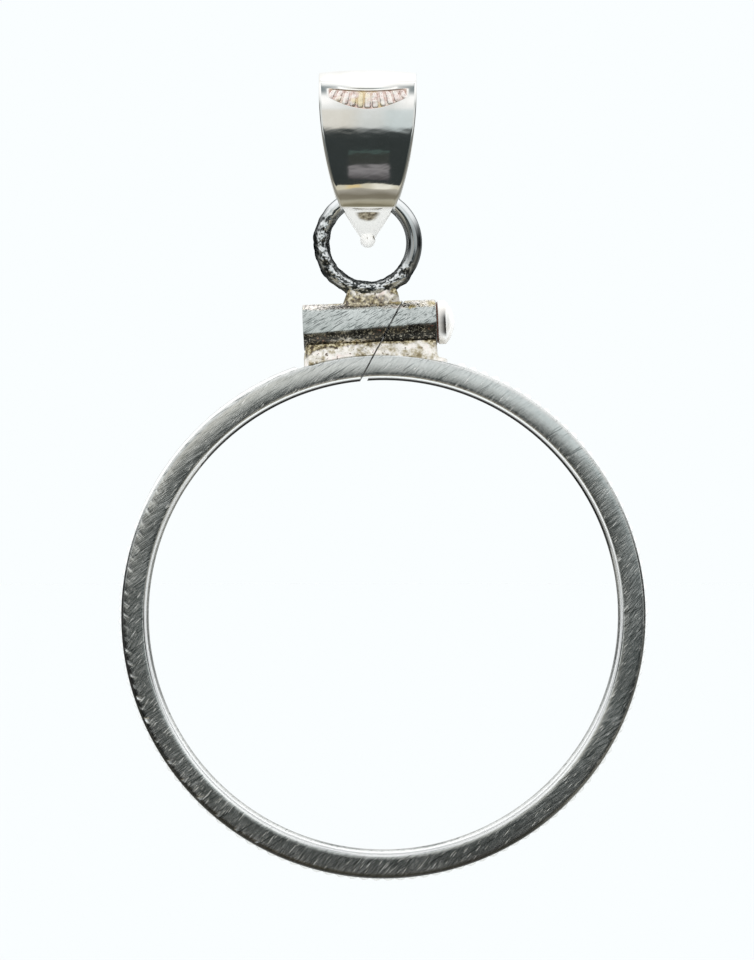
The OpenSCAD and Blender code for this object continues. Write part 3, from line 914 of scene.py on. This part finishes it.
def bail_sheet():
    """Both leaves in one sweep, from the front tip over the fold to the back tip. At each row the
    sheet's section, a flat bar with rounded edges whose outer side is crowned, stands across the
    path: path + across * width - inward * depth. The tips stop at the plane where they meet. The
    fold is crossed in front by a shallow groove, and below it lies a sunk, tarnished field."""
    along, back, up, lean, inner = (column[:, None] for column in leaf_path())
    # Section points, as the side they belong to, the way in from that edge, and the depth.
    corner = np.linspace(0, np.pi / 2, 9)[1:-1]
    outer = [(x, 0.0, 0.0) for x in np.linspace(-1, 1, 61)[1:-1]]
    edge_in, edge_deep, inner_in, inner_deep = 0.18, 0.08, 0.08, 0.10
    right = [(1, edge_in * (1 - np.sin(a)), edge_deep * (1 - np.cos(a))) for a in corner]
    right += [(1, 0.0, edge_deep), (1, 0.0, sheet_t - inner_deep)]
    right += [
        (1, inner_in * (1 - np.cos(a)), sheet_t - inner_deep * (1 - np.sin(a))) for a in corner[::2]
    ]
    under = [(x, 0.0, sheet_t) for x in np.linspace(1, -1, 17)[1:-1]]
    left = [(-x, inwards, deep) for x, inwards, deep in right[::-1]]
    side, inwards, deep = np.array(outer + right + under + left).T
    # The buff rounded the outer edges more towards the crease.
    worn = np.where(deep < edge_deep, 0.35 + 0.65 * ease(along, 4.0, 5.5), 1)
    half = half_width(up)
    across = np.where(
        np.abs(side) < 1, side * (half - np.where(deep > 0, inner_in, edge_in * worn)),
        side * (half - inwards * worn),
    )
    on_tongue = ease(along, crease_along - 0.05, crease_along + 0.25)
    crowned = (1 - on_tongue) / crown_r + on_tongue / tongue_crown_r
    sunk = deep + across ** 2 / 2 * crowned * (deep < sheet_t - 0.1)
    field = relief_field(across, along) * (deep == 0)
    from_groove = along - band_edge(across, *groove_edge)
    groove = groove_deep * np.exp(-((from_groove / 0.05) ** 2)) * (deep < 0.15)
    groove = groove * ease(groove_half_w - np.abs(across), 0, 0.5)
    flowing = spread(0.4 * across, along, 0)
    ripple = 0.0012 * lumps(flowing, 0.9, 41) + 0.0003 * lumps(flowing, 0.3, 42)
    ripple = ripple + 0.002 * ease(along, 6.6, 7.1) * lumps(0.6 * flowing, 0.35, 45)
    plain = sunk + ripple * (deep == 0)
    facing = lean * (1 - deep / sheet_t) + inner * deep / sheet_t
    leaves = []
    for way, depth in ((1, plain + groove + field_deep * field), (-1, plain)):
        y = way * np.minimum(back + np.cos(facing) * depth, 0)
        leaves.append(spread(across, y, up - np.sin(facing) * depth))
    # The tongue was never polished. A lens-shaped patch at its top is painted dark: a painted
    # reflection.
    frost = on_tongue * (deep < 0.3)
    ragged = 0.1 * lumps(3 * flowing, 0.5, 43) + 0.05 * lumps(3 * flowing, 0.16, 44)
    reach = np.where(along < lens_along, lens_above, lens_below)
    lens = 1 - (across / lens_half_w) ** 2 - ((along - lens_along) / reach) ** 2
    soaked = frost * ease(lens + ragged, 0.0, 0.7)
    return MM * over_fold(*leaves), {
        "tarnish": over_fold(ease(field, 0, 0.2), 0 * field),
        # The field's edges are painted a deeper brown: painted shade over the tarnish.
        "deep": over_fold(0.3 * field + 2.4 * field * (1 - field), 0 * field),
        "frost": over_fold(frost, frost),
        "soaked": over_fold(soaked, 0.4 * soaked),
    }


bail_points, bail_marks = bail_sheet()
bail = skin("bail", [(bail_points, "capped")], sharp=30, **bail_marks)


def polished_sterling():
    """Sterling silver buffed to a mirror, with the faint smears and hairlines of handling. In the
    sunk field the buff didn't reach, and the silver is rough with pink and brown tarnish."""
    material, tree, shader, place, tarnish, deep, frost, soaked = blank(
        "polished_sterling_silver", "tarnish", "deep", "frost", "soaked"
    )
    # Smears are about 2 mm across, grit 0.2 mm and golden stains 0.7 mm.
    smear = add(tree, "TexNoise", {"Vector": place, "Scale": 0.52 / MM, "Detail": 4.0, "Roughness": 0.6})
    grit = add(tree, "TexNoise", {"Vector": place, "Scale": 5.2 / MM, "Detail": 3.0, "Roughness": 0.6})
    gold = add(tree, "TexNoise", {"Vector": place, "Scale": 1.4 / MM, "Detail": 1.0})
    colour = add(tree, "ValToRGB", {0: smear}, steps={0.35: "#e9e8e4", 0.6: "#f3f3f1"})
    stain = add(
        tree, "ValToRGB", {0: grit},
        steps={0.32: "#b39a8e", 0.42: "#ead4cc", 0.52: "#f7ece8", 0.62: "#f8f3ea"},
    )
    gilt = add(tree, "ValToRGB", {0: gold}, steps={0.50: "#000000", 0.62: "#ffffff"})
    stain = add(tree, "Mix", {0: gilt, 6: stain, 7: "#efe0b8"}, 2, data_type="RGBA")
    # The field's edges and the bars' feet are painted a darker brown: painted shade over the tarnish.
    shade = add(tree, "Mix", {0: deep, 6: "#ffffff", 7: "#c4a896"}, 2, data_type="RGBA")
    stain = add(
        tree, "Mix", {0: 1.0, 6: stain, 7: shade}, 2, data_type="RGBA", blend_type="MULTIPLY"
    )
    # The lens on the tongue is painted umber: a painted dark reflection.
    umber = add(
        tree, "ValToRGB", {0: grit}, steps={0.40: "#5d5340", 0.52: "#8f8570", 0.66: "#b9b09a"}
    )
    for share, over in ((tarnish, stain), (frost, "#faf9f6"), (soaked, umber)):
        colour = add(tree, "Mix", {0: share, 6: colour, 7: over}, 2, data_type="RGBA")
    rough = add(tree, "MapRange", {"Value": smear, "To Min": 0.03, "To Max": 0.08})
    for share, rougher in ((tarnish, 0.3), (frost, 0.45)):
        rough = add(tree, "Mix", {"Factor": share, "A": rough, "B": rougher})
    metal = add(tree, "MapRange", {"Value": frost, "To Min": 1.0, "To Max": 0.1})
    hairs = streaks(tree, place, 20, 3, 0.08, 1.0, 0.5)
    scratched = add(tree, "Bump", {"Height": hairs, "Strength": 0.1, "Distance": 0.004 * MM})
    rugged = add(
        tree, "Bump",
        {"Height": grit, "Strength": tarnish, "Distance": 0.015 * MM, "Normal": scratched},
    )
    plug(tree, shader, {"Base Color": colour, "Metallic": metal, "Roughness": rough, "Normal": rugged})
    return material


polished = polished_sterling()
put(bail, "bail", polished)


def relief_bars():
    """The bars, each half an ellipse in section, tapering to rounded ends. A bar follows the
    sheet from the field's upper edge to its lower one, and fans out by a sixth of its place. Also
    gives how near each point is to the foot of its bar."""
    along, back, up, lean, _ = leaf_path()
    t = np.linspace(0, 1, 24)[:, None]
    way = circle(16)
    girth = np.sqrt(np.clip(1 - (2 * t - 1) ** 6, 0.0004, 1))
    grids = []
    for place in np.linspace(-0.9, 0.9, bars):
        across = place * field_half_w
        start, end = band_edge(across, *field_top), band_edge(across, *field_bottom)
        width = bar_half_w * (1 + 0.4 * t) * girth * (1 + 0.2 * lumps([[across, 0, 0]], 0.4, 46))
        x = across * (0.93 + 0.16 * t) + width * np.cos(way)
        at = start + 0.03 + t * (end - start) + 0 * way
        blobs = 1 + 0.25 * lumps(spread(x, at, 0), 0.3, 47)
        rise = bar_h * blobs * girth * np.sin(way) - x ** 2 / (2 * crown_r) - field_deep - 0.008
        facing = np.interp(at, along, lean)
        y = np.interp(at, along, back) - np.cos(facing) * rise
        z = np.interp(at, along, up) + np.sin(facing) * rise
        grids.append((MM * spread(x, y, z), "capped"))
    return grids, np.tile(ease(np.sin(way), 0.55, 0.1), len(t) * bars)


bar_grids, bar_feet = relief_bars()
# The bars' feet are marked for painted shade.
bars_piece = skin("bail_bars", bar_grids, tarnish=0 * bar_feet + 0.8, deep=bar_feet)
put(bars_piece, "bail", polished)

# THE SOLDER IN THE BAIL
# The tips are closed with solder, from a round bead at the point up to the seat that the loop
# hangs on. The loop has worn its own groove there.

pivot_up = joints["bezel_swing"]["pos_m"][2] / MM
seat_half_w, seat_half_d, seat_play, seat_rise = 1.1, 1.26, 0.04, 0.15
# The seat's sides stay this far inside the leaves' edges, and meet this far down.
seat_inset, seat_down, bead_r = 0.13, 7.5, 0.365


def bail_seat():
    """A block between the leaves, as slices from left to right. The top of a slice is a groove of
    radius loop - sqrt((loop - wire - play)^2 - right^2) about the pivot, and its sides run inside
    the leaves down to where the tips are as wide as the slice is far from the middle."""
    right = np.linspace(-seat_half_w, seat_half_w, 61)[:, None]
    groove = loop_r - np.sqrt((loop_r - wire_r - seat_play) ** 2 - right ** 2)
    across = np.linspace(-seat_half_d, seat_half_d, 61)
    trough = pivot_up - np.sqrt(np.clip(groove ** 2 - across ** 2, 0, None))
    top = spread(across, np.minimum(trough, pivot_up - seat_rise))
    at_crease = half_width(-crease_down)
    share = (at_crease - seat_inset - np.abs(right)) / (at_crease - tip_half_w)
    low = np.clip(-crease_down - share * (bead_down - crease_down), 0.1 - seat_down, -crease_down - 0.02)
    crease = spread(seat_half_d, 0 * low - crease_down)
    foot = spread(seat_half_d * (seat_down + low) / (seat_down - crease_down), low)
    flip = np.array([-1, 1])
    loop = np.concatenate([top, crease, foot, foot * flip, crease * flip], 1)
    return MM * spread(right, loop[..., 0], loop[..., 1])


def solder_bead():
    """A ball of solder at the point, slightly flattened, with a frozen wavy skin. Its poles lie
    to the left and right."""
    round_x = circle(64)
    pole = np.linspace(0.001, np.pi - 0.001, 41)[:, None]
    out = spread(np.cos(pole), np.sin(pole) * np.sin(round_x), np.sin(pole) * np.cos(round_x))
    radius = bead_r * (1 + 0.06 * lumps(out, 1.6, 51) - 0.05 * ease(lumps(out, 0.7, 52), 0.3, 0.9))
    return MM * (radius[..., None] * out * np.array([1.02, 0.9, 1.0]) - np.array([0, 0, bead_down]))


bail_solder = skin("bail_solder", [(bail_seat(), "capped"), (solder_bead(), "capped")])


def frosted_solder():
    """Clean solder with the white frosted skin that the pickle leaves, and a few dark pits. The
    skin scatters light as matt white does, so it is only partly metallic."""
    material, tree, shader, place = blank("frosted_hard_solder")
    # The frost has grains of about 0.24 mm.
    grain = add(tree, "TexNoise", {"Vector": place, "Scale": 4.2 / MM, "Detail": 4.0, "Roughness": 0.6})
    tint = add(
        tree, "ValToRGB", {0: grain}, steps={0.33: "#6d675c", 0.37: "#f5f4f0", 0.7: "#fbfaf8"}
    )
    bump = add(tree, "Bump", {"Height": grain, "Strength": 0.4, "Distance": 0.02 * MM})
    plug(tree, shader, {"Base Color": tint, "Metallic": 0.12, "Roughness": 0.45, "Normal": bump})
    return material


put(bail_solder, "bail", frosted_solder())

# THE STUDIO
# A white sweep lit evenly from all round. The silver mirrors a bright sky above, a dark band at
# the camera's height, and warm and then white ground below.

# The photograph's picture is 960 pixels high and its focal length is 4124 pixels.
camera_data = bpy.data.cameras.new("camera")
camera_data.sensor_width = 36.0
camera_data.lens = camera_data.sensor_width * 4124 / 960
camera_data.clip_start = 0.01
camera = bpy.data.objects.new("camera", camera_data)
camera.location = (0.45 * MM, -201.2 * MM, -19.55 * MM)
camera.rotation_euler = (np.pi / 2, 0, 0)
bpy.context.scene.collection.objects.link(camera)
bpy.context.scene.camera = camera

# The white of the background, and the floor's share of it and place, in metres.
backdrop_white, floor_albedo, floor_down, floor_r = (0.956, 0.991, 1.0), 0.7, 0.1, 3.0


def round_floor():
    """A flat disc: one face with its points round its middle."""
    turn = circle(96)
    rim = spread(floor_r * np.cos(turn), floor_r * np.sin(turn), -floor_down)
    mesh = bpy.data.meshes.new("floor")
    mesh.from_pydata(rim.tolist(), [], [list(range(len(rim)))])
    return bpy.data.objects.new("floor", mesh)


floor = round_floor()
bpy.context.scene.collection.objects.link(floor)
floor.visible_glossy = False
paper = bpy.data.materials.new("matt_white_paper")
paper.use_nodes = True
plug(paper.node_tree, paper.node_tree.nodes["Principled BSDF"], {
    "Base Color": (*(floor_albedo * c for c in backdrop_white), 1), "Roughness": 1.0,
    "Specular IOR Level": 0.0,
})
floor.data.materials.append(paper)


def studio():
    """What the silver mirrors, by direction: a ramp from the ground to the sky in front, another
    at the sides and one behind, white strips between the last two, and a dark place in front, with
    the camera in the middle of it. Colours here are linear, as a light can be brighter than white."""
    world = bpy.data.worlds.new("studio")
    bpy.context.scene.world = world
    world.use_nodes = True
    tree = world.node_tree
    tree.nodes.clear()
    way = add(tree, "TexCoord", {}, "Generated")
    sideways, _, rising = add(tree, "SeparateXYZ", {0: way}).node.outputs
    beside = add(tree, "Math", {0: sideways}, operation="ABSOLUTE")
    level = add(tree, "VectorMath", {0: way, 1: (1, 1, 0)}, operation="MULTIPLY")
    heading = add(tree, "VectorMath", {0: level}, operation="NORMALIZE")
    rightwards, backwards, _ = add(tree, "SeparateXYZ", {0: heading}).node.outputs
    forwards = add(tree, "Math", {0: backwards, 1: -1.0}, operation="MULTIPLY")
    # In front, the edge of the dark ground curves down to both sides.
    squared = add(tree, "Math", {0: rightwards, 1: rightwards}, operation="MULTIPLY")
    sag = add(tree, "Math", {0: squared, 1: 0.06}, operation="MINIMUM")
    bent = add(tree, "Math", {0: rising, 1: sag}, operation="ADD")

    def ramp(height, *steps):
        """Light by height, from steps of a height from -1 to 1 and its red, green and blue."""
        share = add(tree, "MapRange", {"Value": height, "From Min": -1.0, "From Max": 1.0})
        steps = {(z + 1) / 2: (*colour, 1) for z, *colour in steps}
        return add(tree, "ValToRGB", {0: share}, steps=steps)

    sides = ramp(
        rising,
        (-1.0, 1.0, 1.0, 0.98), (-0.80, 0.7, 0.7, 0.66), (-0.55, 0.3, 0.29, 0.25),
        (-0.10, 0.24, 0.24, 0.22), (-0.03, 0.12, 0.12, 0.12), (0.0, 0.04, 0.04, 0.04),
        (0.16, 0.05, 0.055, 0.055), (0.30, 0.45, 0.46, 0.46), (0.42, 0.92, 0.93, 0.93),
        (0.70, 1.1, 1.1, 1.1), (1.0, 1.3, 1.3, 1.3),
    )
    front = ramp(
        bent,
        (-1.0, 1.1, 1.1, 1.08), (-0.90, 1.0, 1.0, 0.97), (-0.75, 0.62, 0.61, 0.55),
        (-0.70, 0.30, 0.28, 0.20), (-0.65, 0.21, 0.19, 0.13), (-0.60, 0.40, 0.37, 0.28),
        (-0.55, 0.42, 0.40, 0.32), (-0.50, 0.23, 0.21, 0.16), (-0.44, 0.21, 0.19, 0.145),
        (-0.35, 0.38, 0.36, 0.31), (-0.28, 0.50, 0.48, 0.41), (-0.235, 0.50, 0.48, 0.40),
        (-0.22, 0.12, 0.12, 0.10), (-0.10, 0.10, 0.105, 0.096), (-0.05, 0.16, 0.175, 0.17),
        (0.0, 0.17, 0.19, 0.19), (0.03, 0.63, 0.66, 0.66), (0.06, 0.68, 0.71, 0.70),
        (0.18, 0.77, 0.79, 0.78), (0.30, 0.78, 0.81, 0.81), (0.44, 0.68, 0.71, 0.70),
        (0.52, 0.82, 0.84, 0.84), (0.60, 0.98, 1.0, 1.0), (0.76, 1.08, 1.09, 1.09),
        (1.0, 1.3, 1.3, 1.3),
    )
    behind = ramp(
        rising,
        (-1.0, 1.1, 1.1, 1.08), (-0.80, 1.0, 1.0, 0.98), (-0.50, 0.70, 0.68, 0.63),
        (-0.30, 0.66, 0.65, 0.61), (-0.14, 0.92, 0.93, 0.92), (0.07, 1.0, 1.03, 1.04),
        (0.5, 1.05, 1.06, 1.06), (1.0, 1.3, 1.3, 1.3),
    )
    mauve = ramp(
        rising,
        (-0.19, 0.045, 0.044, 0.046), (-0.172, 0.11, 0.105, 0.11), (-0.155, 0.24, 0.23, 0.24),
        (-0.14, 0.30, 0.29, 0.30), (-0.132, 0.15, 0.145, 0.15),
    )
    # A limit is a value and four edges: it is 1 between the middle two, 0 outside the outer two,
    # and smooth between. Edges beyond -1 or 1 leave that side open.
    ahead = (forwards, -0.4, -0.1, 2, 3)
    facing = (forwards, 0.92, 0.945, 2, 3)
    low = (rising, 0.01, 0.03, 0.14, 0.30)
    ground = (bent, -0.32, -0.28, -0.236, -0.224)
    camera_wide = (rightwards, -0.102, -0.096, 0.104, 0.112)
    look = sides
    for colour, *limits in (
        (front, (forwards, 0.64, 0.82, 2, 3)),
        ((1.05, 1.05, 1.05, 1), (forwards, -0.74, -0.66, -0.52, -0.42)),
        (behind, (forwards, -3, -2, -0.78, -0.66)),
        ((0.05, 0.052, 0.05, 1), (forwards, -3, -2, -0.965, -0.945), (rising, -0.26, -0.22, -0.02, 0.03)),
        # Low in front, the light is warm on the left and cool on the right.
        ((0.76, 0.74, 0.68, 1), low, (rightwards, -0.32, -0.24, -0.12, 0.0)),
        ((0.66, 0.73, 0.74, 1), low, (rightwards, 0.04, 0.12, 0.24, 0.32)),
        # High up, the light in front is narrower than the bail's top is crowned. Below its corners
        # there is a lamp on each side.
        ((0.25, 0.29, 0.30, 1), ahead, (beside, 0.04, 0.20, 0.24, 0.30), (rising, 0.66, 0.90, 0.95, 1.004)),
        ((1.15, 1.15, 1.15, 1), ahead, (beside, 0.04, 0.22, 0.26, 0.32), (rising, 0.06, 0.50, 0.62, 0.76)),
        # The dark place. Under it lies a pale strip with a golden and a white patch.
        ((0.034, 0.041, 0.041, 1), facing, (rising, -3, -2, 0.008, 0.045), (bent, -0.228, -0.220, 2, 3)),
        ((0.68, 0.64, 0.51, 1), facing, ground),
        ((0.78, 0.62, 0.33, 1), facing, ground, (rightwards, -0.13, -0.09, -0.05, -0.02)),
        ((0.92, 0.90, 0.80, 1), facing, ground, (rightwards, 0.0, 0.05, 0.10, 0.15)),
        # The camera and its stand: a greenish edge, a black body and a mauve plate.
        ((0.075, 0.115, 0.105, 1), facing, camera_wide, (rising, -0.078, -0.074, -0.068, -0.064)),
        ((0.045, 0.050, 0.046, 1), facing, camera_wide, (rising, -0.128, -0.124, -0.078, -0.076)),
        (mauve, facing, camera_wide, (rising, -0.192, -0.186, -0.134, -0.128)),
    ):
        mask = 1.0
        for value, start, full, last, end in limits:
            for zero, one in ((start, full), (end, last)):
                slope = add(
                    tree, "MapRange", {"Value": value, "From Min": zero, "From Max": one},
                    interpolation_type="SMOOTHSTEP",
                )
                mask = add(tree, "Math", {0: mask, 1: slope}, operation="MULTIPLY")
        look = add(tree, "Mix", {0: mask, 6: look, 7: colour}, 2, data_type="RGBA")

    # Only mirror rays see the studio. Other light is even and white, and so is the background.
    mirror_ray, camera_ray = (add(tree, "LightPath", {}, f"Is {ray} Ray") for ray in ("Glossy", "Camera"))
    fill = add(tree, "Background", {"Color": (1, 1, 1, 1), "Strength": 1 / floor_albedo})
    white = add(tree, "Background", {"Color": (*backdrop_white, 1)})
    lit = add(tree, "MixShader", {0: mirror_ray, 1: fill, 2: add(tree, "Background", {"Color": look})})
    seen = add(tree, "MixShader", {0: camera_ray, 1: lit, 2: white})
    tree.links.new(seen, tree.nodes.new("ShaderNodeOutputWorld").inputs["Surface"])


studio()
bpy.context.scene.view_settings.view_transform = "Standard"
